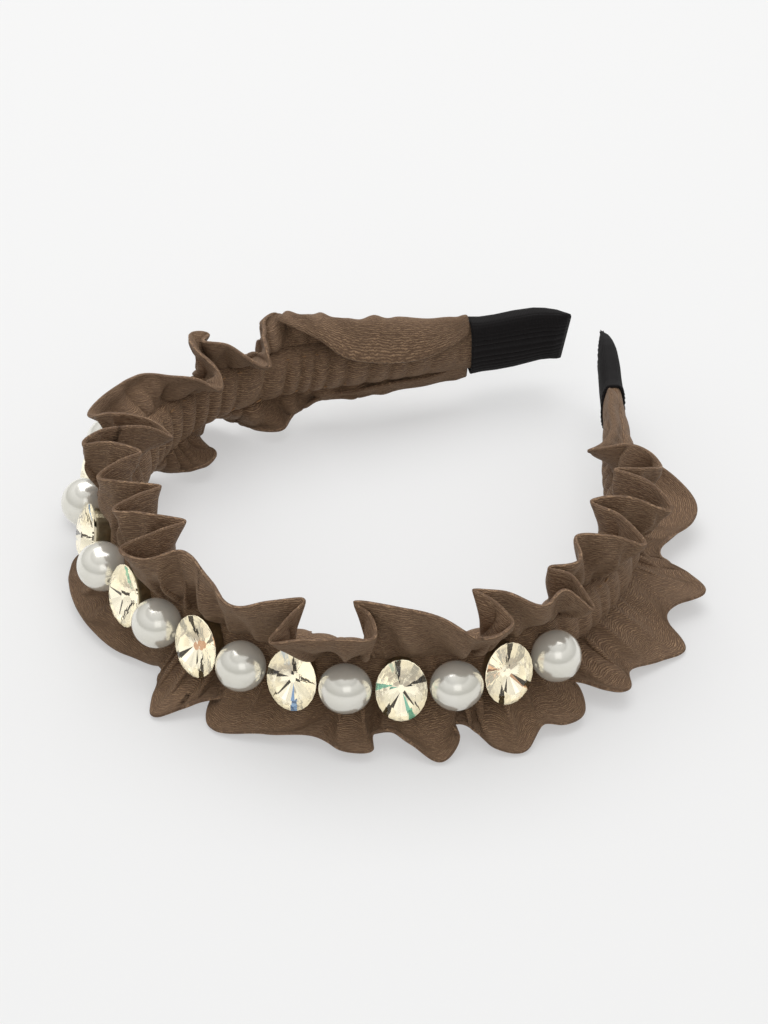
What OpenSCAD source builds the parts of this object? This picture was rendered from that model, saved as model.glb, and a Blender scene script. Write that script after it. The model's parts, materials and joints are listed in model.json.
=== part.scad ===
// Ruffled satin headband with a row of pearls and oval crystals.
// The band lies on its side edge: +Z up, -Y is the crown with the bead row, +Y the open ends.
// The origin is on the table, under the middle of the whole headband.

/* [Band shape] */
// Radius of the core's middle line at the crown, between the first two bends
crown_r = 69; // [57:0.5:84]
// Radius of the core's middle line at the shoulders
shoulder_r = 57.5; // [48:0.5:69]
// Length of the straight run from a shoulder to the core's end
arm_len = 62; // [50:1:76]
// Distance between the middles of the two tips when nobody wears the band
tip_gap = 12.4; // [10:0.2:40]

/* [Core strip] */
// Width of the springy core strip
core_w = 9; // [6:0.5:11]
// Thickness of the core strip
core_t = 1.6; // [1:0.1:2.4]
// Room left between the core strip and the sleeve round it
core_clear = 0.2; // [0.1:0.05:0.5]

/* [Sleeve] */
// Height of the band's middle line above the table
mid_z = 16; // [14:0.5:20]
// Satin above and below the core, up to the gathering rows
channel_edge = 1.8; // [1.2:0.1:2.6]
// Satin outside the core, on the bead side
channel_out = 2.4; // [1.4:0.1:3.2]
// Satin inside the core, on the head side
channel_in = 1.6; // [1:0.1:2.6]

/* [Ruffles] */
// Height of the upper ruffle above its gathering row
ruffle_h = 16.5; // [12:0.5:20]
// Thickness of a ruffle, two layers of satin and the air between
ruffle_t = 2.4; // [1.6:0.2:3]
// How far a fold swings to each side at the upper edge
upper_swing = 8; // [4:0.5:9]
// How far a fold swings to each side at the lower edge
lower_swing = 12; // [4:0.5:13]
// How far the lower ruffle spreads outwards under the beads
lower_flare = 5; // [0:0.5:6]
// Distance from one fold to the next along the band
fold_pitch = 22; // [18:1:32]
// Room between a ruffle and the channel it is gathered onto
row_gap = 0.1; // [0.05:0.05:0.3]

/* [Beads] */
// Diameter of a pearl
pearl_d = 12; // [9:0.2:14.4]
// Diameter of the hole through a pearl
pearl_hole = 1; // [0.6:0.1:1.6]
// Gap between a pearl and the crystal beside it
bead_gap = 0.9; // [0.7:0.1:3]
// Width of a crystal along the band
crystal_w = 12; // [9:0.2:14.4]
// Length of a crystal across the band
crystal_l = 16.5; // [12:0.5:20]
// Height of a crystal's crown above its girdle
crystal_crown = 2.4; // [1.5:0.1:3]
// Depth of a crystal's pointed back below its girdle
crystal_back = 3.6; // [2.5:0.1:4.2]
// Angle that the crystals face upwards
crystal_tilt = 8; // [0:1:12]
// Depth that a bead sinks into the satin
bead_sink = 0.4; // [0.2:0.1:0.6]
// Room between a bead and the satin or the seat round it
bead_clear = 0.05; // [0.02:0.01:0.1]

/* [End caps] */
// Length of a ribbed end cap
cap_len = 26; // [20:1:32]
// Thickness of the ribbed ribbon
ribbon_t = 1.1; // [0.6:0.1:1.6]
// Satin round the core inside a cap
tail_wall = 0.9; // [0.6:0.1:1.4]
// Room between a cap and the satin or the core inside it
cap_clear = 0.1; // [0.05:0.05:0.2]
// Length of the flat pinched tip beyond the core's end
cap_tip = 6; // [4:0.5:9]
// Thickness of the pinched tip
cap_tip_t = 1.8; // [1.2:0.1:2.4]
// How far the tip is bent towards the head
cap_hook = 1.5; // [0:0.5:3]

/* [Flex] */
// How far each shoulder bends open when the band is worn, in degrees
shoulder_flex = 15; // [8:1:15]
// How far each arm bends open beyond that, in degrees
arm_flex = 10; // [5:1:12]
// Room between neighbouring lengths of the band
seam_gap = 0.4; // [0.3:0.05:0.8]

/* [Hidden] */
PEARLS = 8;
CRYSTALS = 7;
LENGTHS = ["crown", "left_shoulder", "right_shoulder", "left_arm", "right_arm"];
$fn = 64;

SATIN = "#6e5443";
LIGHT_SATIN = "#7d614d";
GROSGRAIN = "#1e1a1a";
PEARL = "#e4e4dc";
GLASS = "#f3f0e4";
SEAT = "#8f8670";
CORE = "#d8cdbd";

// Offsets from the core's middle line, outwards positive.
out_face = core_t / 2 + core_clear + channel_out;
in_face = -(core_t / 2 + core_clear + channel_in);
channel_h = core_w + 2 * (core_clear + channel_edge);
pearl_off = out_face + pearl_d / 2 - bead_sink;
girdle_off = pearl_off;
bead_pitch = (pearl_d + crystal_w) / 2 + bead_gap;

// Beads 0 (the middle one) to 7 on each side. The crown ends in the gap after the second bead.
LAST = (PEARLS + CRYSTALS - 1) / 2;
crown_row = 2 * bead_pitch + (crystal_w + bead_gap) / 2;
crown_len = crown_row * crown_r / (crown_r + pearl_off);
crown_deg = crown_len / crown_r * 180 / PI;

// Heading of the straight arms, turned so far that the tips end tip_gap apart.
lean = let (run = arm_len + cap_tip, side = tip_gap / 2 - (crown_r - shoulder_r) * sin(crown_deg))
    atan2(shoulder_r, run) + acos(side / norm([shoulder_r, run]));

// Lengths along the core's middle line, measured from the middle of the crown.
shoulder_len = shoulder_r * (lean - crown_deg) * PI / 180;
end_s = crown_len + shoulder_len + arm_len;
function row_to_s(b) = b <= crown_row ? b * crown_r / (crown_r + pearl_off)
    : crown_len + (b - crown_row) * shoulder_r / (shoulder_r + pearl_off);
function bead_s(k) = row_to_s(k * bead_pitch);

// The two bends between the band's lengths.
shoulder_s = crown_len;
arm_s = row_to_s(LAST * bead_pitch + pearl_d / 2 + 6.9);

// Where a cap starts, where the ruffles start to narrow and where they end.
cap_s = end_s + cap_tip - cap_len;
fade_s = cap_s - 26;
ruffle_end_s = cap_s - 2;

// The sleeve's flattened tail that is tucked into a cap, and the cap's mouth round it.
tail_t = core_t + 2 * (core_clear + tail_wall);
tail_h = core_w + 2 * (core_clear + tail_wall);
tail_len = (cap_len - cap_tip) / 2;
cap_t = tail_t + 2 * (cap_clear + ribbon_t);
cap_w = tail_h + 2 * (cap_clear + ribbon_t);

// The core's middle line: heading, position and outward direction at length s on the right side.
function heading(s) = s <= crown_len ? s / crown_r * 180 / PI
    : s <= crown_len + shoulder_len ? crown_deg + (s - crown_len) / shoulder_r * 180 / PI
    : lean;
function bend_c(s) = s <= crown_len ? [0, crown_r]
    : [(crown_r - shoulder_r) * sin(crown_deg), crown_r - (crown_r - shoulder_r) * cos(crown_deg)];
function bend_r(s) = s <= crown_len ? crown_r : shoulder_r;
function line_pt(s, off = 0) = let (t = heading(s), n = [sin(t), -cos(t)])
    bend_c(s) + (bend_r(s) + off) * n
    + max(0, s - crown_len - shoulder_len) * [cos(t), sin(t)];

// The ruffles swing from side to side, more towards their free edge.
mid_off = (out_face + in_face) / 2;
lower_h = mid_z - channel_h / 2 - row_gap;
function swing(s, v, amp, turn) = amp * pow(v, 1.3)
    * (0.85 * sin(s / fold_pitch * 360 + turn) + 0.15 * sin(s / fold_pitch * 573 + 40));
function fade(s) = s <= fade_s ? 1 : max(0.22, 1 - (s - fade_s) / (ruffle_end_s - fade_s));
function upper_h(s) = ruffle_h * fade(s) * (0.93 + 0.07 * sin(s / fold_pitch * 140));
function lower_edge(s) = s <= fade_s ? 0 : (1 - fade(s)) * lower_h * 0.9;

// A seam gapes outwards of the bead row by half of its bend's travel, so the opened band stays clear.
function seam(s_h, off, flex) = flex == 0 ? 0 : seam_gap / 2
    + max(0, off - pearl_off) * tan(flex / 2 + 1.5) * bend_r(s_h) / (bend_r(s_h) + off);

// Points of a ruffle from s0 to s1, in n steps with eight points a ring: up one side, down the other.
VS = [0, 0.3, 0.65, 1];
function ruffle_pts(s0, s1, flex0, flex1, n, upper) =
    let (amp = upper ? upper_swing : lower_swing, turn = upper ? 90 : -90,
         flare = upper ? 0 : lower_flare)
    [for (i = [0:n]) for (j = [0:7])
        let (u = i / n, side = j < 4 ? 1 : -1, v = VS[j < 4 ? j : 7 - j], sm = abs(s0 + (s1 - s0) * u),
             off = mid_off * (1 - v) + (swing(sm, v, amp, turn) + v * flare) * fade(sm)
                 + side * ruffle_t / 2,
             a = s0 + seam(abs(s0), off, flex0), b = s1 - seam(abs(s1), off, flex1),
             s = a + (b - a) * u, p = line_pt(abs(s), off))
        [s < 0 ? -p.x : p.x, p.y, upper ? mid_z + channel_h / 2 + row_gap + v * upper_h(abs(s))
                                        : lower_h - v * (lower_h - lower_edge(abs(s)))]];

module ruffle(s0, s1, flex0, flex1, n, upper) {
    rings = [for (i = [0:n - 1]) for (j = [0:7])
        let (a = i * 8 + j, b = i * 8 + (j + 1) % 8)
        each [[a, b, b + 8], [a, b + 8, a + 8]]];
    ends = [for (e = [0, n]) for (j = [0:2])
        let (a = e * 8 + j, b = e * 8 + j + 1, c = e * 8 + 6 - j, d = e * 8 + 7 - j)
        each (e == 0 ? [[a, c, b], [a, d, c]] : [[a, b, c], [a, c, d]])];
    flip = [for (f = concat(rings, ends)) upper ? f : [f[0], f[2], f[1]]];
    color(upper ? LIGHT_SATIN : SATIN) polyhedron(ruffle_pts(s0, s1, flex0, flex1, n, upper), flip);
}

// The headband is centred over the origin between its front, a pearl or a lower fold, and its tips.
pearl_y = crown_r - (crown_r + pearl_off) * cos(bead_pitch / (crown_r + pearl_off) * 180 / PI) - pearl_d / 2;
fold_y = min([for (p = ruffle_pts(-shoulder_s, shoulder_s, shoulder_flex, shoulder_flex, 30, false)) p.y]);
low_y = min(pearl_y, fold_y);
high_y = line_pt(cap_s).y + cap_len * sin(lean) + (cap_hook - cap_tip_t / 2) * cos(lean);
module placed(left) translate([0, -(low_y + high_y) / 2, 0]) mirror([left ? 1 : 0, 0, 0]) children();

// An upright strip along the band from s0 to s1, between two offsets and h high.
module strip(s0, s1, off0, off1, h) {
    n = ceil((s1 - s0) / 2);
    row = function(off) [for (i = [0:n])
        let (s = s0 + (s1 - s0) * i / n, p = line_pt(abs(s), off)) [s < 0 ? -p.x : p.x, p.y]];
    back = row(off0);
    translate([0, 0, mid_z]) linear_extrude(h, center = true)
        polygon(concat(row(off1), [for (i = [n:-1:0]) back[i]]));
}

// The strip's part in one of the five lengths of the band, whose ends are drawn back by half a seam.
module strip_of(name, off0, off1, h, g = seam_gap / 2, to = end_s)
    placed(is_left(name)) {
        if (name == "crown") strip(g - shoulder_s, shoulder_s - g, off0, off1, h);
        if (name == "left_shoulder" || name == "right_shoulder")
            strip(shoulder_s + g, arm_s - g, off0, off1, h);
        if (name == "left_arm" || name == "right_arm") strip(arm_s + g, to, off0, off1, h);
    }
function is_left(name) = name == "left_shoulder" || name == "left_arm";
function beads_of(name) = name == "crown" ? [-2:2] : name == "right_shoulder" ? [3:LAST]
    : name == "left_shoulder" ? [-LAST:-3] : [];

// Works at bead k's place: X along the band, Y up and Z outwards from the core's middle line.
module at_bead(k) placed(k < 0) translate(concat(line_pt(bead_s(abs(k))), mid_z))
    rotate([0, 0, heading(bead_s(abs(k)))]) rotate([90, 0, 0]) children();

module core(name) color(CORE) strip_of(name, -core_t / 2, core_t / 2, core_w);

module channel(name) color(SATIN) difference() {
    union() {
        strip_of(name, in_face, out_face, channel_h, to = cap_s);
        if (name == "left_arm" || name == "right_arm") placed(is_left(name))
            strip(cap_s - 2, cap_s + tail_len, -tail_t / 2, tail_t / 2, tail_h);
    }
    strip_of(name, -core_t / 2 - core_clear, core_t / 2 + core_clear, core_w + 2 * core_clear, 0);
    for (k = beads_of(name)) at_bead(k) {
        if (k % 2 == 0) translate([0, 0, out_face - bead_sink - bead_clear])
            linear_extrude(pearl_d) oval(seat_base * crystal_w + 2 * bead_clear,
                                         seat_base * crystal_l + 2 * bead_clear);
        else translate([0, 0, pearl_off]) sphere(d = pearl_d + 2 * bead_clear, $fn = 96);
    }
}

module end_cap(left) color(GROSGRAIN) placed(left) translate(concat(line_pt(cap_s), mid_z))
    rotate([0, 0, lean]) difference() {
        union() {
            hull() {
                cap_slab(0, cap_t, cap_w);
                cap_slab(cap_len * 0.4, cap_t, cap_w * 1.04);
                cap_slab(cap_len * 0.8, cap_tip_t + 1.4, cap_w * 0.84, cap_hook * 0.4);
            }
            hull() {
                cap_slab(cap_len * 0.8, cap_tip_t + 1.4, cap_w * 0.84, cap_hook * 0.4);
                translate([cap_len - 2, cap_hook - cap_tip_t / 2, -cap_w * 0.48])
                    cube([2, cap_tip_t, cap_w * 0.96]);
            }
        }
        translate([-1, -cap_t / 2 + ribbon_t, -cap_w / 2 + ribbon_t])
            cube([tail_len + 1 + cap_clear, cap_t - 2 * ribbon_t, cap_w - 2 * ribbon_t]);
        translate([-1, -core_t / 2 - cap_clear, -core_w / 2 - cap_clear])
            cube([cap_len - cap_tip + 1 + cap_clear, core_t + 2 * cap_clear, core_w + 2 * cap_clear]);
    }
// A slab of the cap with rounded edges, at x from its mouth.
module cap_slab(x, t, w, y = 0) translate([x, y, 0]) rotate([0, 90, 0])
    linear_extrude(0.4) hull() for (z = [-1, 1]) translate([z * (w - t) / 2, 0]) circle(d = t, $fn = 24);

module pearl(k) color(PEARL) at_bead(k) translate([0, 0, pearl_off]) difference() {
    sphere(d = pearl_d, $fn = 96);
    rotate([0, 90, 0]) cylinder(d = pearl_hole, h = pearl_d + 2, center = true, $fn = 32);
}

seat_base = 0.7;
function oval_pts(w, l, n = 32) = [for (i = [0:n - 1]) [w / 2 * cos(i * 360 / n), l / 2 * sin(i * 360 / n)]];
module oval(w, l, n = 32) polygon(oval_pts(w, l, n));
// A cut stone round its girdle, grown by g on every side: flat table in front, small culet behind.
module stone(g = 0) hull() {
    translate([0, 0, -0.2]) linear_extrude(0.4) oval(crystal_w + 2 * g, crystal_l + 2 * g, 16);
    translate([0, 0, crystal_crown - 0.1 + g]) linear_extrude(0.1) oval(crystal_w * 0.6, crystal_l * 0.6, 16);
    translate([0, 0, -crystal_back - g]) linear_extrude(0.1) oval(crystal_w * 0.2, crystal_l * 0.2, 16);
}
module tilted() translate([0, 0, girdle_off]) rotate([-crystal_tilt, 0, 0]) children();
module crystal(k) color(GLASS) at_bead(k) tilted() stone();
module crystal_seat(k) color(SEAT) at_bead(k) difference() {
    hull() {
        translate([0, 0, out_face - bead_sink]) linear_extrude(0.4)
            oval(seat_base * crystal_w, seat_base * crystal_l);
        tilted() translate([0, 0, -1.5]) linear_extrude(0.5) oval(0.86 * crystal_w, 0.86 * crystal_l);
    }
    tilted() stone(bead_clear);
}

for (name = LENGTHS) {
    core(name);
    channel(name);
}
for (upper = [true, false]) {
    label = upper ? "upper_ruffle_" : "lower_ruffle_";
    placed(false) ruffle(-shoulder_s, shoulder_s, shoulder_flex, shoulder_flex, 30, upper);
    for (left = [true, false]) {
        side = left ? "left_" : "right_";
        placed(left) ruffle(shoulder_s, arm_s, shoulder_flex, arm_flex, 30, upper);
        placed(left) ruffle(arm_s, ruffle_end_s, arm_flex, 0, 44, upper);
    }
}
end_cap(true);  // left_end_cap
end_cap(false);  // right_end_cap
// Pearls and crystals take turns along the row, numbered from the left end.
for (i = [1:PEARLS]) pearl(2 * i - LAST - 2);
for (i = [1:CRYSTALS]) {
    crystal(2 * i - LAST - 1);
    crystal_seat(2 * i - LAST - 1);
}
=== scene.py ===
"""Ruffled satin headband with pearls and oval crystals, lying on a pale floor."""

import json
import math
import bmesh
import bpy
import numpy as np
from mathutils import Matrix, Vector


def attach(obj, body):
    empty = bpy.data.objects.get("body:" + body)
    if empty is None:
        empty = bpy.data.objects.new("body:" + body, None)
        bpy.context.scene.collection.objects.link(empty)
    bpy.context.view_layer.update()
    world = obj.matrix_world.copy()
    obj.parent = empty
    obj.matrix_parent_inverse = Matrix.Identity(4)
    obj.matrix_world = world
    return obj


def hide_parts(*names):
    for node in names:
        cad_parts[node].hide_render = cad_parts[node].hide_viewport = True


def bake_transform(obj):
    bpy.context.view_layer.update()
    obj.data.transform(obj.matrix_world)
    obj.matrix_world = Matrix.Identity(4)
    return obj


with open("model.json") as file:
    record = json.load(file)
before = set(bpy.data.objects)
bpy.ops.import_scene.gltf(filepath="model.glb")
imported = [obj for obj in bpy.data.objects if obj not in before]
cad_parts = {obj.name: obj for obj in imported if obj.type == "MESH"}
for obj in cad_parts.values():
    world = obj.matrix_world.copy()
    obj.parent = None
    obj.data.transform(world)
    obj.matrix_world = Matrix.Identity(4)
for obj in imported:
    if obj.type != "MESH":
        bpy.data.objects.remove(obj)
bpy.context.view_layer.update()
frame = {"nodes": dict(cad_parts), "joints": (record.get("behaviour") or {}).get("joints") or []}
scene = bpy.context.scene

# ---------------------------------------------------------------- Studio
# A sheet of pale board under the headband, a large soft light above and behind it, and a
# weak fill light in front. The camera looks down over the right shoulder.
AIM = Vector((0.0032, -0.0077, 0.016))
AZIMUTH, ELEVATION, DISTANCE = 37.8, 37.55, 1.0
turn, rise = math.radians(AZIMUTH), math.radians(ELEVATION)
back = Vector((math.sin(turn) * math.cos(rise), -math.cos(turn) * math.cos(rise),
               math.sin(rise)))
camera = bpy.data.objects.new("camera", bpy.data.cameras.new("camera"))
scene.collection.objects.link(camera)
camera.location = AIM + back * DISTANCE
camera.rotation_euler = (-back).to_track_quat("-Z", "Y").to_euler()
camera.data.lens, camera.data.sensor_width = 144.7, 36
scene.camera = camera
scene.view_settings.view_transform = "Standard"


def linear(hex_colour):
    """An sRGB hex colour as the linear RGBA that nodes take."""
    parts = [int(hex_colour[i:i + 2], 16) / 255 for i in (1, 3, 5)]
    return tuple(c / 12.92 if c <= 0.04045 else ((c + 0.055) / 1.055) ** 2.4
                 for c in parts) + (1.0,)


def add(tree, kind, inputs=None, **settings):
    """Adds a node with its settings; an input is a value or the socket that feeds it."""
    made = tree.nodes.new("ShaderNode" + kind)
    for name, value in settings.items():
        setattr(made, name, value)
    for name, value in (inputs or {}).items():
        if isinstance(value, bpy.types.NodeSocket):
            tree.links.new(value, made.inputs[name])
        else:
            made.inputs[name].default_value = value
    return made


def material(name):
    """An empty material: its node tree, and its Principled shader."""
    made = bpy.data.materials.new(name)
    made.use_nodes = True
    return made, made.node_tree, made.node_tree.nodes["Principled BSDF"]


def finish_piece(name, bm, *finishes):
    """The mesh as an object of the scene, with its materials in order."""
    made = bpy.data.objects.new(name, bpy.data.meshes.new(name))
    bm.to_mesh(made.data)
    bm.free()
    for finish in finishes:
        made.data.materials.append(finish)
    scene.collection.objects.link(made)
    return made


# Translucent white board, lit from below as on a product table: matt, with no grain that
# the lens could see, and its glow keeps the shadows pale.
board, tree, shader = material("lit_white_board")
shader.inputs["Base Color"].default_value = linear("#b8b8b8")
shader.inputs["Emission Color"].default_value = linear("#ffffff")
shader.inputs["Emission Strength"].default_value = 0.39
shader.inputs["Roughness"].default_value = 0.85
shader.inputs["Specular IOR Level"].default_value = 0.2

BOARD_HALF = 3.0
bm = bmesh.new()
bmesh.ops.create_grid(bm, x_segments=8, y_segments=8, size=BOARD_HALF)
floor = finish_piece("floor", bm, board)
floor.visible_diffuse = False     # the glow doesn't wash out the folds' shade

LIGHTS = [  # name, place, size, watts
    ("overhead", (-0.35, 0.35, 1.2), 1.2, 8.0),
    ("fill", (0.9, -0.9, 0.9), 0.8, 1.0),
]
for name, place, size, watts in LIGHTS:
    lamp = bpy.data.objects.new(name, bpy.data.lights.new(name, "AREA"))
    lamp.data.size, lamp.data.energy = size, watts
    lamp.location = place
    lamp.rotation_euler = (-Vector(place)).to_track_quat("-Z", "Y").to_euler()
    scene.collection.objects.link(lamp)

# The room round it: darker walls, and a white ceiling for the beads to mirror.
WALLS = ((0.0, "#b4b4b0"), (0.28, "#5c5c58"), (0.5, "#82827e"), (0.7, "#ffffff"))
scene.world = bpy.data.worlds.new("studio")
scene.world.use_nodes = True
sky = scene.world.node_tree.nodes["Background"]
sky.inputs["Strength"].default_value = 0.88
aim = add(scene.world.node_tree, "TexCoord")
height = add(scene.world.node_tree, "SeparateXYZ", {"Vector": aim.outputs["Generated"]})
room = add(scene.world.node_tree, "ValToRGB", {"Fac": height.outputs["Z"]})
stops = room.color_ramp.elements
for place, grey in WALLS:
    inside = WALLS[0][0] < place < WALLS[-1][0]          # the ramp starts with its two ends
    stop = stops.new(place) if inside else stops[place > WALLS[0][0]]
    stop.position, stop.color = place, linear(grey)
scene.world.node_tree.links.new(room.outputs["Color"], sky.inputs["Color"])

# ---------------------------------------------------------------- Core strip
# A flat strip of sprung plastic runs from end to end inside the sleeve and gives the
# headband its grip. It's injection moulded, and it only shows if the sleeve opens.
CROWN_R, SHOULDER_R, OFF = 0.069, 0.0575, 0.009   # bend radii, and the bead row's offset
HINGES = {joint["name"]: Vector(joint["pos_m"]) for joint in frame["joints"]}
H1, H2 = HINGES["right_shoulder_bend"], HINGES["right_arm_bend"]
CROWN_A = math.asin(H1.x / (CROWN_R + OFF))
CROWN_S = CROWN_A * CROWN_R             # length from the band's middle to the shoulder's bend
BEND_C = Vector(((CROWN_R - SHOULDER_R) * math.sin(CROWN_A),
                 H1.y + (SHOULDER_R + OFF) * math.cos(CROWN_A)))
LEAN = math.radians(129.2)              # the way the straight arms run
SHOULDER_S = SHOULDER_R * (LEAN - CROWN_A)
ARM_S = CROWN_S + SHOULDER_R * (math.atan2(H2.x - BEND_C.x, BEND_C.y - H2.y) - CROWN_A)
MID_Z = 0.016                           # height of the strip's middle above the floor


def heading(s):
    """The way the band runs at length s from its middle, in radians."""
    s = abs(s)
    return s / CROWN_R if s < CROWN_S else min(CROWN_A + (s - CROWN_S) / SHOULDER_R, LEAN)


def on_band(s, off, z):
    """The point at length s along the band, off outwards of the core and z above the floor."""
    s, off = float(s), float(off)
    t, a = heading(s), abs(s)
    if a < CROWN_S:
        c, r = Vector((0, H1.y + (CROWN_R + OFF) * math.cos(CROWN_A))), CROWN_R
    else:
        c, r = BEND_C, SHOULDER_R
    p = c + (r + off) * Vector((math.sin(t), -math.cos(t)))
    p += max(0.0, a - CROWN_S - SHOULDER_S) * Vector((math.cos(t), math.sin(t)))
    return Vector((math.copysign(p.x, s) if s else p.x, p.y, z))


# Natural polypropylene: waxy, cream, and slightly milky under the surface.
plastic, tree, shader = material("moulded_polypropylene")
place = add(tree, "TexCoord")
flow = add(tree, "TexNoise", {"Vector": place.outputs["Object"], "Scale": 90.0, "Detail": 3.0})
tint = add(tree, "Mix", {"Factor": flow.outputs["Fac"],
                         6: linear("#cfc3b2"), 7: linear("#ddd3c4")}, data_type="RGBA")
tree.links.new(tint.outputs[2], shader.inputs["Base Color"])
shader.inputs["Roughness"].default_value = 0.45
shader.inputs["Subsurface Weight"].default_value = 0.05
for length in ("crown", "left_shoulder", "right_shoulder", "left_arm", "right_arm"):
    strip = frame["nodes"]["core_" + length]
    strip.data.materials.clear()
    strip.data.materials.append(plastic)

# ---------------------------------------------------------------- Sleeve
# The sleeve is brown satin-backed crepe, sewn to a tube round the core with one row of
# stitches above it and one below, and gathered along them into upright pleats.
LOW_ROW, HIGH_ROW = 0.0095, 0.0225        # heights of the two rows of stitches
SLEEVE_MID, SLEEVE_HALF = 0.0004, 0.0030  # its middle, off the core, and half its thickness
SLEEVE_GIRTH = 0.038                      # round it, across the cloth
FULLNESS = 1.1                            # length of cloth to a length of band
SATIN_T = 0.0006
GRID = 0.0007                             # how finely the cloth is divided along the band

# Satin-backed crepe with its dull side out: polyester, woven with twisted threads, which
# gives fine wavy ribs about half a millimetre apart along the cloth, and a soft sheen at
# grazing angles.
RIB = 0.0005
WAVE_PERIOD = 0.314                       # a wave texture's period at a scale of 1
satin, tree, shader = material("satin_backed_crepe")
cloth = add(tree, "UVMap", uv_map="cloth").outputs["UV"]    # metres along and across it
stretch = add(tree, "Mapping", {"Vector": cloth, "Scale": (0.35, 1.0, 1.0)}).outputs["Vector"]
ribs = add(tree, "TexWave", {"Vector": cloth, "Scale": WAVE_PERIOD / RIB, "Distortion": 6.0,
                             "Detail": 2.0, "Detail Scale": 1.6, "Detail Roughness": 0.6},
           bands_direction="Y", wave_profile="SIN")
pebble = add(tree, "TexNoise", {"Vector": stretch, "Scale": 1 / 0.0006, "Detail": 3.0})
grain = add(tree, "MapRange", {"Value": pebble.outputs["Fac"], "From Min": 0.32, "From Max": 0.68})
weave = add(tree, "Math", {0: ribs.outputs["Fac"], 1: grain.outputs[0]}, operation="MULTIPLY")
rib_shading_mask = add(tree, "MapRange", {"Value": weave.outputs[0], "From Min": 0.0, "From Max": 0.7})
shade = add(tree, "TexNoise", {"Vector": cloth, "Scale": 1 / 0.012, "Detail": 3.0})
broad = add(tree, "Mix", {"Factor": shade.outputs["Fac"],
                          6: linear("#7b5f48"), 7: linear("#93765d")}, data_type="RGBA")
# Painted shading on the weave: the colour is painted lighter where the ribs stand high and darker
# in the hollows between them.
painted_rib_shading = add(tree, "Mix", {"Factor": rib_shading_mask.outputs[0],
                         6: linear("#553f2d"), 7: linear("#bb9877")}, data_type="RGBA")
mixed = add(tree, "Mix", {"Factor": 0.65, 6: broad.outputs[2], 7: painted_rib_shading.outputs[2]},
            data_type="RGBA")
tree.links.new(mixed.outputs[2], shader.inputs["Base Color"])
bump = add(tree, "Bump", {"Height": weave.outputs[0], "Strength": 0.8, "Distance": 0.0004})
tree.links.new(bump.outputs["Normal"], shader.inputs["Normal"])
shader.inputs["Roughness"].default_value = 0.62
shader.inputs["Specular IOR Level"].default_value = 0.35
shader.inputs["Sheen Weight"].default_value = 0.25
shader.inputs["Sheen Roughness"].default_value = 0.35
shader.inputs["Sheen Tint"].default_value = linear("#d8bda6")


def cloth_piece(name, fabric, columns, rows, point, size, start=0.0, closed=False):
    """A piece of cloth as a grid: point(u, v) gives its shape. The weave follows its real
    length and width, size, and runs on from the length start of the piece before it."""
    bm = bmesh.new()
    uv = bm.loops.layers.uv.new("cloth")
    bmesh.ops.create_grid(bm, x_segments=columns, y_segments=rows, size=0.5)
    at = {v: (v.co.x + 0.5, v.co.y + 0.5) for v in bm.verts}
    for face in bm.faces:
        for loop in face.loops:
            u, v = at[loop.vert]
            loop[uv].uv = (start + u * size[0], v * size[1])
    for v in bm.verts:
        v.co = point(*at[v])
    if closed:
        bmesh.ops.remove_doubles(bm, verts=bm.verts, dist=1e-6)
    for face in bm.faces:
        face.smooth = True
    return finish_piece(name, bm, fabric)


# Each run of cloth is cut where it is gathered tightest, with one joint inside it:
# its name's ending, its two ends along the band, its two bodies and the side of the band.
SPLIT, LAP, TAIL = 0.059, 0.0022, 0.180   # where it is cut, how far it laps, and its end
RUNS = [
    ("left_end", -TAIL, -SPLIT, "left_shoulder", "left_arm", -1),
    ("left_front", -SPLIT, 0.0, "crown", "left_shoulder", -1),
    ("right_front", 0.0, SPLIT, "crown", "right_shoulder", 1),
    ("right_end", SPLIT, TAIL, "right_shoulder", "right_arm", 1),
]
BEND_HALF = 0.008                         # how far a bend would reach on each side of its joint; no bend is made


def bend_with(piece, outer):
    """Bakes the piece's place into its mesh; the ends of its bend are found but not used."""
    s = ARM_S if outer.endswith("arm") else CROWN_S
    a, b = on_band(s - BEND_HALF, 0, MID_Z), on_band(s + BEND_HALF, 0, MID_Z)
    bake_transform(piece)


def nodes_of(kind, inner, outer):
    """The CAD nodes of this kind that a run of cloth stands for."""
    return ([kind + "_crown"] if inner == "crown" else []) + [kind + "_" + outer]


def thicken(piece, thickness):
    """Gives the cloth its thickness, and rounds its folds."""
    wall = piece.modifiers.new("two_layers", "SOLIDIFY")
    wall.thickness, wall.offset = thickness, 0
    wall.use_even_offset = False
    soft = piece.modifiers.new("soft", "SUBSURF")
    soft.levels = soft.render_levels = 1


def pleat(s):
    """How far a pleat stands out at s, from 0 in a crease to 1. They are 5.2 mm apart on
    average, and uneven."""
    s = s * 1000
    place = (s + 1.6 * math.sin(s / 7.3) + 1.1 * math.sin(s / 4.1 + 1.0)) / 5.2
    return abs(math.sin(math.pi * place)) ** 0.6


PUFF_IN, PUFF_OUT = 0.0027, 0.0014        # how far the pleats stand out on each face
TAPER_S, TAPER_LONG = 0.150, 0.024        # where it starts to narrow, and over what length


def sleeve_point(s0, s1):
    """The shape of the sleeve from s0 to s1: a flat tube, pleated all round."""
    def point(u, v):
        s, turn = s0 + (s1 - s0) * u, 2 * math.pi * v
        c, w = math.cos(turn), math.sin(turn)
        end = min(1.0, max(0.0, (abs(s) - TAPER_S) / TAPER_LONG))   # flatter at the caps
        fall = (1 - 0.8 * end)
        puff = (PUFF_IN if c < 0 else PUFF_OUT) * fall * (pleat(s + 0.0015 * w) - 0.3) \
            * abs(c) ** 0.5
        half = SLEEVE_HALF * (1 - 0.35 * end) + puff
        off = SLEEVE_MID * (1 - end) + half * math.copysign(abs(c) ** 0.6, c)
        high = (HIGH_ROW - LOW_ROW) / 2 * (1 - 0.02 * end)
        return on_band(s, off, MID_Z + high * math.copysign(abs(w) ** 0.85, w))
    return point


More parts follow.
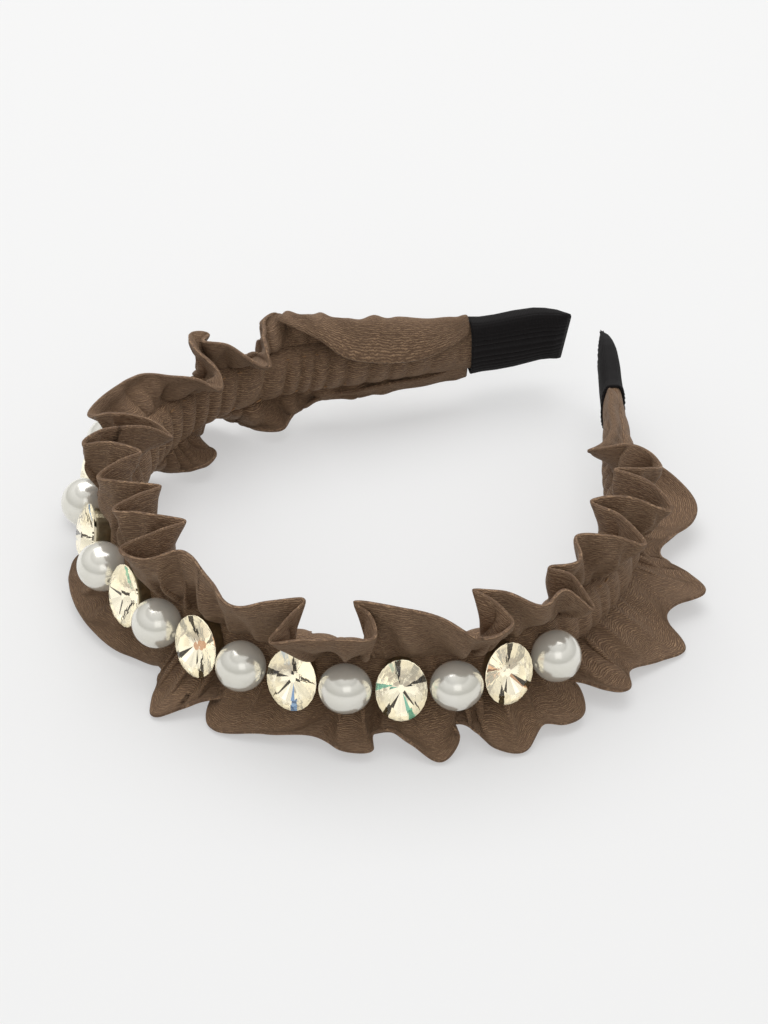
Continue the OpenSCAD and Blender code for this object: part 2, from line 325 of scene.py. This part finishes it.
for end, s0, s1, inner, outer, side in RUNS:
    a, b = s0 - LAP, s1 + LAP
    sleeve = cloth_piece("sleeve_" + end, satin, round((b - a) / GRID), 28, sleeve_point(a, b),
                         ((b - a) * FULLNESS, SLEEVE_GIRTH), a * FULLNESS, closed=True)
    thicken(sleeve, SATIN_T)
    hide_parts(*nodes_of("channel", inner, outer))
    bend_with(sleeve, outer)

# ---------------------------------------------------------------- Stitches
# Two rows of lockstitch in golden-brown thread close the sleeve and hold its gathers, just
# inside the ruffles. The tight gathers pull the stitches a little askew.
STITCH, STITCH_PITCH, THREAD_R = 0.0019, 0.0027, 0.00024
ROW_IN = 0.0012                           # the rows show this far inside the sleeve's edges
SEWN_S, BEADS_S = 0.148, 0.095            # how far the rows run, and how far beads hide them

# Spun polyester thread, Tex 40: twisted from two plies, with a slight silky shine.
thread, tree, shader = material("polyester_thread")
place = add(tree, "TexCoord")
twist = add(tree, "TexNoise", {"Vector": place.outputs["Object"], "Scale": 1 / 0.0006,
                               "Detail": 2.0})
ply = add(tree, "Mix", {"Factor": twist.outputs["Fac"],
                        6: linear("#6f4a28"), 7: linear("#a67c4c")}, data_type="RGBA")
tree.links.new(ply.outputs[2], shader.inputs["Base Color"])
shader.inputs["Roughness"].default_value = 0.5
shader.inputs["Sheen Weight"].default_value = 0.3

for end, s0, s1, inner, outer, side in RUNS:
    rows = bmesh.new()
    for n in range(round((min(s1, SEWN_S) - max(s0, -SEWN_S)) / STITCH_PITCH)):
        s = max(s0, -SEWN_S) + (n + 0.5) * STITCH_PITCH
        for row, face in ((LOW_ROW + ROW_IN, -1), (HIGH_ROW - ROW_IN, -1), (HIGH_ROW - ROW_IN, 1)):
            if face > 0 and abs(s) < BEADS_S:
                continue
            off = SLEEVE_MID + face * (SLEEVE_HALF - 0.0001)
            middle = on_band(s, off, row + 0.0002 * math.sin(900 * s))
            way = on_band(s + 0.001, off, middle.z + 0.0003 * math.sin(1700 * s)) - middle
            made = bmesh.ops.create_uvsphere(rows, u_segments=6, v_segments=6, radius=1.0)
            shape = way.to_track_quat("Z", "Y").to_matrix().to_4x4() @ \
                Matrix.Diagonal((THREAD_R, THREAD_R, STITCH / 2, 1))
            bmesh.ops.transform(rows, matrix=Matrix.Translation(middle) @ shape,
                                verts=made["verts"])
    for face in rows.faces:
        face.smooth = True
    stitches = finish_piece("stitches_" + end, rows, thread)
    bend_with(stitches, outer)

# ---------------------------------------------------------------- Ruffles
# Above and below the sleeve the same satin, doubled and pressed flat at its edge, runs on
# past the stitches. The gathers open there into deep rolling folds.
RUFFLE_T, RUFFLE_WIDE = 0.0010, 0.019
FLOOR_GAP = 0.0009                        # the cloth's middle stays this far off the floor

# The line that each ruffle's edge follows from the left cap to the right one, in mm:
# length along the band, distance outwards of the core, and height above the floor.
UPPER_EDGE = [
    (-176, -2, 21), (-169, -6, 20), (-160, -8, 19), (-150, -8, 20), (-142, -8, 23), (-136, -6, 28),
    (-131, -3, 30), (-127, 1, 31), (-129, 4, 30), (-125, 4, 31), (-121, -4, 30), (-119, -11, 27),
    (-114, -10, 29), (-110, -3, 32), (-107, 3, 31), (-111, 6, 30), (-107, 8, 31), (-103, 1, 32),
    (-103, -8, 29), (-99, -12, 27), (-94, -8, 31), (-91, -1, 31), (-88, 5, 31), (-79, 9, 31),
    (-71, 11, 30), (-67, 3, 35), (-70, -6, 32), (-66, -12, 30), (-61, -6, 36), (-58, 4, 37),
    (-54, 9, 36), (-52, 2, 38), (-47, -5, 38), (-43, 1, 39), (-41, 7, 37), (-36, 4, 39),
    (-31, -6, 38), (-29, 1, 39), (-29, 8, 37), (-23, 4, 39), (-15, -4, 38), (-15, 4, 39),
    (-20, 12, 34), (-12, 11, 36), (-6, 5, 39), (3, 8, 38), (11, 12, 36), (18, 9, 38),
    (25, 5, 38), (23, 10, 36), (20, 15, 31), (26, 14, 33), (34, 13, 34), (40, 12, 34),
    (39, 7, 37), (35, 5, 39), (43, 6, 39), (53, 9, 37), (60, 14, 33), (67, 12, 34),
    (64, 6, 38), (61, 3, 39), (68, 6, 38), (74, 11, 35), (80, 10, 36), (84, 15, 30),
    (83, 8, 37), (80, 3, 38), (87, 6, 38), (92, 0, 39), (98, 6, 38), (103, 12, 34),
    (105, 4, 38), (107, -5, 38), (111, 3, 39), (115, 13, 34), (119, 6, 38), (122, -3, 38),
    (126, 5, 36), (131, 8, 33), (136, 2, 35), (140, -7, 31), (143, -9, 28), (148, -5, 26),
    (155, -2, 25), (163, -2, 23), (169, -2, 21), (174, -2, 19),
]
LOWER_EDGE = [
    (-176, -1, 12), (-167, -1, 9), (-155, -2, 9), (-146, -2, 8), (-138, -1, 7), (-131, -2, 5),
    (-124, -8, 4), (-117, -3, 3), (-111, 9, 4), (-105, 11, 4), (-103, 2, 3), (-101, -8, 5),
    (-93, -9, 5), (-88, -2, 3), (-86, 8, 3), (-78, 14, 4), (-68, 17, 5), (-62, 10, 3), (-64, 5, 3),
    (-58, 6, 2), (-52, 12, 3), (-42, 15, 4), (-32, 15, 3), (-22, 13, 2), (-14, 9, 2), (-10, 9, 3),
    (-5, 19, 1), (-2, 21, 1), (3, 14, 4), (8, 8, 5), (4, 9, 3), (6, 15, 1), (10, 17, 1),
    (18, 15, 3), (28, 13, 4), (35, 16, 3), (40, 15, 3), (39, 10, 4), (43, 11, 6), (47, 14, 4),
    (52, 18, 1),
    (56, 14, 4), (55, 9, 5), (59, 10, 4), (62, 17, 2), (67, 20, 1), (72, 16, 4), (76, 18, 3),
    (81, 17, 3), (84, 9, 5), (79, 6, 4), (84, 8, 5), (87, 16, 5), (90, 20, 5), (95, 15, 4),
    (102, 18, 2), (108, 21, 1), (112, 14, 4), (116, 15, 5), (121, 21, 5), (126, 16, 5), (131, 9, 5),
    (136, 11, 6), (143, 18, 6), (150, 19, 7), (158, 14, 9), (165, 6, 11), (170, 1, 12),
    (175, -1, 13),
]


def smooth_line(points, step=0.0011):
    """A smooth line through the points, as places a step apart."""
    p = np.array(points, float) / 1000
    p = np.vstack([2 * p[0] - p[1], p, 2 * p[-1] - p[-2]])
    dense = []
    for a, b, c, d in zip(p, p[1:], p[2:], p[3:]):
        for t in np.linspace(0, 1, 24, endpoint=False):
            dense.append(0.5 * (2 * b + (c - a) * t + (2 * a - 5 * b + 4 * c - d) * t * t
                                + (3 * b - a - 3 * c + d) * t ** 3))
    dense = np.array(dense + [p[-2]])
    run = np.r_[0, np.cumsum(np.linalg.norm(np.diff(dense, axis=0), axis=1))]
    even = np.linspace(0, run[-1], round(run[-1] / step))
    return np.stack([np.interp(even, run, dense[:, i]) for i in range(3)], 1), even


def soften(values, reach):
    """Each value as a weighted mean of those within about reach places."""
    weights = np.exp(-0.5 * (np.arange(-3 * reach, 3 * reach + 1) / reach) ** 2)
    ends = 3 * reach
    padded = np.r_[2 * values[0] - values[ends:0:-1], values,
                   2 * values[-1] - values[-2:-ends - 2:-1]]
    return np.convolve(padded, weights / weights.sum(), "valid")


# How far the small gathers reach out of the band and along it, and the ripple across them.
GATHER_R, GATHER_S, RIPPLE = 0.0021, 0.0014, 0.0013
# Lengths along the band: where the gathers fade towards the caps, where the roots come
# forward behind the beads, and where the loose cloth near the left cap folds over inwards.
FADE_S, FADE_LONG, FRONT_S, FRONT_LONG = 0.165, 0.03, 0.085, 0.02
FOLD_S, FOLD_LONG, UNFOLD_S, UNFOLD_LONG = -0.122, 0.012, -0.181, 0.03
BELLY_UP, BELLY_DOWN = 0.0045, -0.0065    # height of the steering point from the stitches


def ruffle(name, edge_points, row, up):
    """A ruffle from its row of stitches to its edge: each line across it is a curve between
    the two, steered by a third point, with small gathers that fade towards the edge."""
    edge, along = smooth_line(edge_points)
    foot = np.maximum.accumulate(soften(edge[:, 0], 9))     # where each line is stitched
    wide_s, wide_r = soften(edge[:, 0], 3), soften(edge[:, 1], 3)
    rows = 15
    shape = np.zeros((len(foot), rows + 1, 3))
    for i, (s, r, z) in enumerate(edge):
        a = along[i] * 1000
        loose = min(1.0, max(0.15, (FADE_S - abs(foot[i])) / FADE_LONG))
        front = min(1.0, max(0.0, (FRONT_S - abs(foot[i])) / FRONT_LONG))
        wave = a / 1.25 + 1.9 * math.sin(a / 6.3) + 1.3 * math.sin(a / 3.7)
        low_s = 0.35 * foot[i] + 0.65 * wide_s[i]
        low_r = (0.85 if up else 0.6) * wide_r[i] + 0.0012 * front
        low_z = row + (BELLY_UP if up else BELLY_DOWN)
        if up and foot[i] < FOLD_S:
            over = min(1.0, (FOLD_S - foot[i]) / FOLD_LONG)
            over = over * min(1.0, max(0.0, (foot[i] - UNFOLD_S) / UNFOLD_LONG))
            low_z, low_r = low_z + 0.012 * over, low_r + 0.006 * over
        root_r = 0.0004 + 0.0026 * front
        root_z = row + (-0.0015 if up else 0.0015) * front
        for j in range(rows + 1):
            v = j / rows
            tight = (1 - v) ** 0.8 * loose * (0.9 + 0.55 * math.sin(a / 9.1)) * min(1.0, v * 8)
            w0, w1, w2 = (1 - v) ** 2, 2 * v * (1 - v), v * v
            gather = GATHER_R * (math.sin(wave) + 0.3 * math.sin(2 * wave + 1)) * tight
            ripple = RIPPLE * math.sin(a / 3.1 + 5 * v + 2 * math.sin(a / 8)) * w1 * 2 * loose
            ps = w0 * foot[i] + w1 * low_s + w2 * s + GATHER_S * math.cos(wave) * tight
            pr = w0 * root_r + w1 * low_r + w2 * r + gather + ripple
            pz = w0 * root_z + w1 * low_z + w2 * z
            shape[i, j] = on_band(ps, pr, max(pz, FLOOR_GAP))
    for end, s0, s1, inner, outer, side in RUNS:
        first = 0 if s0 == -TAIL else int(np.searchsorted(foot, s0)) - 2
        last = len(foot) - 1 if s1 == TAIL else int(np.searchsorted(foot, s1)) + 2
        count = last - first
        long = float(along[last] - along[first])
        piece = cloth_piece(name + "_" + end, satin, count, rows,
                            lambda u, v: Vector(shape[first + round(u * count), round(v * rows)]),
                            (long, RUFFLE_WIDE), along[first])
        thicken(piece, RUFFLE_T)
        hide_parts(*nodes_of(name, inner, outer))
        bend_with(piece, outer)


ruffle("upper_ruffle", UPPER_EDGE, HIGH_ROW, True)
ruffle("lower_ruffle", LOWER_EDGE, LOW_ROW, False)

# ---------------------------------------------------------------- End caps
# Each end is wrapped in black grosgrain ribbon, glued round the core and the sleeve's
# tail. The ribbon is pinched flat past the core's end, folded over and pressed.
CAP_S, CAP_LONG, CAP_GIRTH = 0.1764, 0.026, 0.038     # where it starts, and its ribbon's size
RIBBON_T, RIB_HIGH, PATTERN_ROUND = 0.0007, 0.00013, 0.036
RIBS_ROUND = 33                  # grosgrain's ribs are about 1.1 mm apart round the cap
BINDING = 0.0004                 # spacing of the binding thread
CAP_PLACES = (0, 3, 7, 12, 17, 20, 23, 26)            # mm from the mouth
CAP_TOP = (7.3, 6.9, 7.0, 7.5, 7.7, 7.4, 6.8, 6.2)    # mm above the strip's middle, and below
CAP_BOTTOM = (7.3, 7.1, 7.2, 6.9, 6.2, 5.8, 5.8, 6.0)
CAP_THICK = (3.0, 2.7, 2.6, 2.6, 2.4, 2.1, 1.7, 0.0)  # from its middle to each face
CAP_HOOK = (0, 0, 0, 0, 0.1, 0.3, 0.7, 1.7)           # how far it bends towards the head

# Grosgrain: viscose ribbon with thick ribs along the cap and a very fine binding thread
# across them. It's black and dull, and the tops of the ribs catch a little light.
grosgrain, tree, shader = material("grosgrain_ribbon")
ribbon = add(tree, "UVMap", uv_map="cloth").outputs["UV"]
binding = add(tree, "TexWave", {"Vector": ribbon, "Scale": WAVE_PERIOD / BINDING,
                                "Distortion": 1.5}, bands_direction="X")
fluff = add(tree, "TexNoise", {"Vector": ribbon, "Scale": 1 / 0.0009, "Detail": 3.0})
black = add(tree, "Mix", {"Factor": fluff.outputs["Fac"],
                          6: linear("#0b090a"), 7: linear("#171314")}, data_type="RGBA")
tree.links.new(black.outputs[2], shader.inputs["Base Color"])
bump = add(tree, "Bump", {"Height": binding.outputs["Fac"], "Strength": 0.35, "Distance": 0.0002})
tree.links.new(bump.outputs["Normal"], shader.inputs["Normal"])
shader.inputs["Roughness"].default_value = 0.75
shader.inputs["Specular IOR Level"].default_value = 0.2
shader.inputs["Sheen Weight"].default_value = 0.05
shader.inputs["Sheen Roughness"].default_value = 0.5

for side, sign in (("left", -1), ("right", 1)):
    def cap_point(u, v):
        c, w = math.cos(2 * math.pi * v), math.sin(2 * math.pi * v)
        x = CAP_PLACES[-1] * u
        half = np.interp(x, CAP_PLACES, CAP_TOP if w > 0 else CAP_BOTTOM) / 1000
        thick = np.interp(x, CAP_PLACES, CAP_THICK) / 1000
        rib = RIB_HIGH * math.cos(RIBS_ROUND * 2 * math.pi * v) * min(1.0, thick / 0.001)
        up = half * math.copysign(abs(w) ** 0.8, w)
        hook = np.interp(x, CAP_PLACES, CAP_HOOK) / 1000
        off = (thick + rib) * math.copysign(abs(c) ** 0.5, c) - hook
        slant = 1 - 0.10 * u * (1 - (up / 0.0065)) / 2       # the lower corner ends sooner
        return on_band(sign * (CAP_S + CAP_LONG * u * slant), off, MID_Z + up)

    cap = cloth_piece(side + "_grosgrain_cap", grosgrain, 44, RIBS_ROUND * 6, cap_point,
                      (CAP_LONG, PATTERN_ROUND), closed=True)
    wall = cap.modifiers.new("ribbon", "SOLIDIFY")
    wall.thickness, wall.offset = RIBBON_T, -1
    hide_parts(side + "_end_cap")
    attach(cap, side + "_arm")

# ---------------------------------------------------------------- Pearls
# Eight imitation pearls, 12 mm glass beads dipped many times in pearl lacquer, threaded
# on the line along the band. They're a little uneven, as the cheaper baroque ones are.
BEAD_PITCH, CROWN_ROW = 0.0129, 0.03225   # CROWN_ROW is as far as the row follows the crown
PEARL_R = 0.006
DIMPLE, DIMPLE_WIDE = 0.12, 0.1           # how deep and wide the drilled ends are, in radii
STRETCH = [(1.02, 0.98, 0.99), (0.98, 1.0, 1.02), (1.03, 1.0, 0.99), (1.0, 0.98, 1.02),
           (0.99, 1.0, 1.01), (1.04, 0.99, 0.98), (1.03, 1.0, 0.96), (0.99, 1.0, 1.02)]


def at_bead(k):
    """Bead k's place, counted from the middle one: X along the band, Y outwards and Z up."""
    b = abs(k) * BEAD_PITCH
    s = b * CROWN_R / (CROWN_R + OFF) if b < CROWN_ROW else \
        CROWN_S + (b - CROWN_ROW) * SHOULDER_R / (SHOULDER_R + OFF)
    s = math.copysign(s, k)
    out = on_band(s, 0.02, MID_Z) - on_band(s, 0.0, MID_Z)
    out.normalize()
    axes = Matrix((Vector((out.y, -out.x, 0)), out, Vector((0, 0, 1)))).transposed()
    return Matrix.Translation(on_band(s, OFF, MID_Z)) @ axes.to_4x4()


def body_of(k):
    """The body that bead k rides on."""
    return "crown" if abs(k) < 3 else "left_shoulder" if k < 0 else "right_shoulder"


# Pearl lacquer: fish-scale flakes in clear varnish over milk glass. It mirrors the room
# softly under a clear gloss, and its white turns a little warm and green in places.
lacquer, tree, shader = material("pearl_lacquer")
place = add(tree, "TexCoord")
cloud = add(tree, "TexNoise", {"Vector": place.outputs["Object"], "Scale": 1 / 0.006,
                               "Detail": 2.0})
nacre = add(tree, "Mix", {"Factor": cloud.outputs["Fac"],
                          6: linear("#e2dfd2"), 7: linear("#f6f4ee")}, data_type="RGBA")
tree.links.new(nacre.outputs[2], shader.inputs["Base Color"])
skin = add(tree, "TexNoise", {"Vector": place.outputs["Object"], "Scale": 1 / 0.0015,
                              "Detail": 2.0})
bump = add(tree, "Bump", {"Height": skin.outputs["Fac"], "Strength": 0.06, "Distance": 0.0002})
tree.links.new(bump.outputs["Normal"], shader.inputs["Normal"])
shader.inputs["Roughness"].default_value = 0.2
shader.inputs["Metallic"].default_value = 0.55
shader.inputs["Coat Weight"].default_value = 0.6
shader.inputs["Coat Roughness"].default_value = 0.1
shader.inputs["Emission Color"].default_value = linear("#f3f0e4")   # painted glow: a weak even glow that brightens the pearls
shader.inputs["Emission Strength"].default_value = 0.06

for i in range(1, 9):
    k = 2 * i - 9
    bm = bmesh.new()
    bmesh.ops.create_uvsphere(bm, u_segments=64, v_segments=40, radius=PEARL_R,
                              matrix=Matrix.Rotation(math.pi / 2, 4, "Y"))
    for v in bm.verts:
        x, y, z = v.co / PEARL_R
        lump = 1 + 0.012 * math.sin(2.1 * x + i) + 0.010 * math.sin(2.7 * z + 2 * i) \
            + 0.008 * math.sin(3 * y + i)
        hole = DIMPLE * max(0.0, 1 - math.hypot(y, z) / DIMPLE_WIDE)
        wide, deep, high = STRETCH[i - 1]
        v.co = Vector((x * wide * (1 - hole), y * deep, z * high)) * PEARL_R * min(lump, 1.02)
    for face in bm.faces:
        face.smooth = True
    bm.transform(at_bead(k))
    pearl = finish_piece(f"pearl_bead_{i}", bm, lacquer)
    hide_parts(f"pearl_{i}")
    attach(pearl, body_of(k))

# ---------------------------------------------------------------- Crystals
# Seven oval stones of cut glass, 12 by 16.5 mm, pale champagne. Each has a large flat
# table, three rows of crown facets and a pointed back with mirror foil, and sits in a cup.
STONE_W, STONE_L, CROWN_H, BACK_H, TILT = 0.0120, 0.0165, 0.0024, 0.0036, math.radians(8)
RIM = 0.0002                              # half the rim's thickness
RINGS = [  # share of the stone's outline, height, corners, and turn in corners
    (0.54, CROWN_H, 12, 0.0), (0.74, CROWN_H * 0.74, 12, 0.5), (0.90, CROWN_H * 0.38, 24, 0.0),
    (1.0, RIM, 24, 0.0), (1.0, -RIM, 24, 0.0),
    (0.64, -BACK_H * 0.38, 16, 0.5), (0.36, -BACK_H * 0.66, 12, 0.0), (0.14, -BACK_H * 0.9, 8, 0.5),
]

# Lead glass, cut and polished: clear, slightly yellow, with strong mirror-like facets.
glass, tree, shader = material("cut_lead_glass")
shader.inputs["Base Color"].default_value = linear("#fcf9ef")
shader.inputs["Roughness"].default_value = 0.0
shader.inputs["IOR"].default_value = 1.58
shader.inputs["Transmission Weight"].default_value = 1.0
# Silver foil under gold varnish, fused to the stone's back: it sends the light out again as
# champagne, with a painted glow on top. Its darker facets are painted dark reflections.
foil, tree, shader = material("foiled_back")
shader.inputs["Base Color"].default_value = linear("#efe9d8")
shader.inputs["Metallic"].default_value = 1.0
shader.inputs["Roughness"].default_value = 0.1
shader.inputs["Emission Color"].default_value = linear("#f3ecd8")
shader.inputs["Emission Strength"].default_value = 0.42
# Painted reflections: some facets get a spectrum colour and a glow, others are painted dark.
FLASHES = [("painted_dark_reflection", "#4a4232", 0.05), ("green_flash", "#7fb8a4", 0.30),
           ("orange_flash", "#c9a080", 0.30), ("blue_flash", "#8fb0e0", 0.30)]
flashes = []
for name, colour, glow in FLASHES:
    flash, tree, shader = material(name)
    shader.inputs["Base Color"].default_value = linear(colour)
    shader.inputs["Metallic"].default_value = 1.0
    shader.inputs["Roughness"].default_value = 0.08
    shader.inputs["Emission Color"].default_value = linear(colour)
    shader.inputs["Emission Strength"].default_value = glow
    flashes.append(flash)
# Pressed brass cup, nickel plated and dull from the press.
cup, tree, shader = material("plated_brass_cup")
place = add(tree, "TexCoord")
marks = add(tree, "TexNoise", {"Vector": place.outputs["Object"], "Scale": 1 / 0.0012,
                               "Detail": 3.0})
tarnish = add(tree, "Mix", {"Factor": marks.outputs["Fac"],
                            6: linear("#8f866e"), 7: linear("#c9bfa2")}, data_type="RGBA")
tree.links.new(tarnish.outputs[2], shader.inputs["Base Color"])
shader.inputs["Metallic"].default_value = 1.0
shader.inputs["Roughness"].default_value = 0.38

FOIL, DARK, COLOURED = 1, 2, 3            # the stones' material slots after the glass


def middle_of(face):
    """A facet's middle, rounded: a sorting key that doesn't depend on the last digit."""
    return tuple(round(c, 5) for c in face.calc_center_median())


for i in range(1, 8):
    k = 2 * i - 8
    bm = bmesh.new()
    for share, high, corners, offset in RINGS:
        oval = Matrix.Translation((0, 0, high)) @ Matrix.Diagonal((STONE_W, STONE_L, 1, 1))
        turned = Matrix.Rotation(offset * 2 * math.pi / corners, 4, "Z")
        bmesh.ops.create_circle(bm, segments=corners, radius=0.5 * share, matrix=oval @ turned)
    bmesh.ops.convex_hull(bm, input=bm.verts[:] + bm.edges[:])
    bmesh.ops.dissolve_limit(bm, angle_limit=math.radians(1), verts=bm.verts[:], edges=bm.edges[:])
    bmesh.ops.recalc_face_normals(bm, faces=bm.faces[:])
    # Among the back's facets, one in eight is painted dark and one in nineteen a painted colour.
    backs = [face for face in bm.faces if face.calc_center_median().z < -1.5 * RIM]
    for n, face in enumerate(sorted(backs, key=middle_of)):
        face.material_index = DARK if (7 * n + 3 * i) % 8 == 0 else FOIL
        if (n + 2 * i) % 19 == 5:
            face.material_index = COLOURED + i % 3
    # The stone's own Z faces out of the band, and leans back by the tilt.
    face_out = Matrix.Rotation(TILT, 4, "X") @ Matrix.Rotation(-math.pi / 2, 4, "X")
    bm.transform(at_bead(k) @ face_out)
    stone = finish_piece(f"oval_stone_{i}", bm, glass, foil, *flashes)
    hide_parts(f"crystal_{i}")
    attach(stone, body_of(k))
    seat = frame["nodes"][f"crystal_seat_{i}"]
    seat.data.materials.clear()
    seat.data.materials.append(cup)
